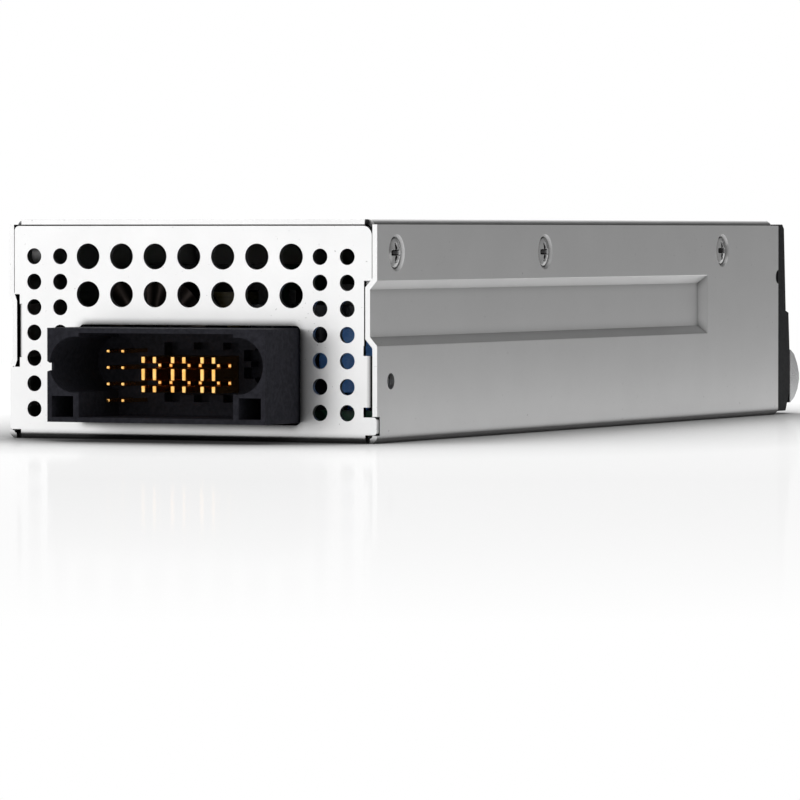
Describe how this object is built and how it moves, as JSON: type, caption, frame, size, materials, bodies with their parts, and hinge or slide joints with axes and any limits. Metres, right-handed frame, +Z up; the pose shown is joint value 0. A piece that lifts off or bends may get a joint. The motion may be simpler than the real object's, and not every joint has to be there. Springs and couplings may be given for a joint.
{
  "type": "hot swap server power supply",
  "caption": "Hot swap server power supply in a folded steel case with a perforated output end, blind-mate output connector, bezel, pull handle and release latch.",
  "frame": {"origin": "centre of the case's underside", "axes": "+X across the case towards the wall with the tapped hole, +Y from the output connector to the bezel, +Z up"},
  "size_m": [0.0651, 0.1838, 0.034],
  "materials": {
    "case_steel": "bright plated sheet, satin",
    "screw_steel": "plated",
    "handle_metal": "satin silver",
    "latch_steel": "satin",
    "bezel_black": "moulded black, faint sheen",
    "connector_black": "moulded black, fine texture",
    "fan_black": "moulded black",
    "contact_metal": "plated contact",
    "lens_clear": "translucent",
    "board_green": "solder mask over glass laminate",
    "film_natural": "polyester film",
    "disc_blue": "coated ceramic",
    "capacitor_black": "sleeved aluminium can",
    "ferrite": "sintered ferrite",
    "copper_wire": "enamelled wire",
    "winding_tape": "polyester tape",
    "heatsink_metal": "extruded",
    "package_black": "moulded epoxy",
    "box_grey": "moulded case",
    "fuse_ceramic": "ceramic with plated caps",
    "clip_metal": "spring brass",
    "lead_red": "insulated wire"
  },
  "bodies": {
    "case": {"chassis": "case_steel", "lid": "case_steel", "lid_screws_right": "screw_steel", "lid_screws_left": "screw_steel", "latch_pin": "screw_steel", "handle_pins": "screw_steel", "board_posts": "screw_steel", "board_screws": "screw_steel", "device_screws": "screw_steel", "latch_spring": "screw_steel", "front_bezel": "bezel_black", "output_connector": "connector_black", "ac_inlet": "connector_black", "fan_plug": "connector_black", "fan_frame": "fan_black", "signal_pins": "contact_metal", "power_blades": "contact_metal", "ac_inlet_blades": "contact_metal", "status_lens": "lens_clear", "main_board": "board_green", "control_card": "board_green", "insulator_film": "film_natural", "disc_capacitors": "disc_blue", "bulk_capacitor": "capacitor_black", "output_capacitors": "capacitor_black", "output_choke_core": "ferrite", "transformer_core": "ferrite", "standby_transformer_core": "ferrite", "pfc_choke_core": "ferrite", "filter_choke_core": "ferrite", "output_choke_winding": "copper_wire", "pfc_choke_winding": "copper_wire", "filter_choke_winding": "copper_wire", "fan_stator": "copper_wire", "transformer_winding": "winding_tape", "standby_transformer_winding": "winding_tape", "secondary_heatsink": "heatsink_metal", "primary_heatsink": "heatsink_metal", "bridge_heatsink": "heatsink_metal", "secondary_transistors": "package_black", "primary_transistors": "package_black", "bridge_rectifier": "package_black", "control_chips": "package_black", "x_capacitor": "box_grey", "fuse": "fuse_ceramic", "fuse_clips": "clip_metal", "fan_lead": "lead_red"},
    "fan_rotor": {"fan_rotor": "fan_black"},
    "handle": {"handle": "handle_metal"},
    "release_latch": {"release_latch": "latch_steel"}
  },
  "joints": [
    {"name": "fan_spin", "type": "hinge", "parent": "case", "child": "fan_rotor", "pos_m": [0.01475, 0.0729, 0.017], "axis": [0, 1, 0], "continuous": true},
    {"name": "handle_swing", "type": "hinge", "parent": "case", "child": "handle", "pos_m": [0.016, 0.08725, 0.0294], "axis": [1, 0, 0], "range_deg": [0, 90]},
    {"name": "latch_swing", "type": "hinge", "parent": "case", "child": "release_latch", "pos_m": [-0.02845, 0.05225, 0.017], "axis": [0, 0, -1], "range_deg": [0, 4], "stiffness_Nm_per_rad": 0.3, "springref_deg": -2.86}
  ]
}
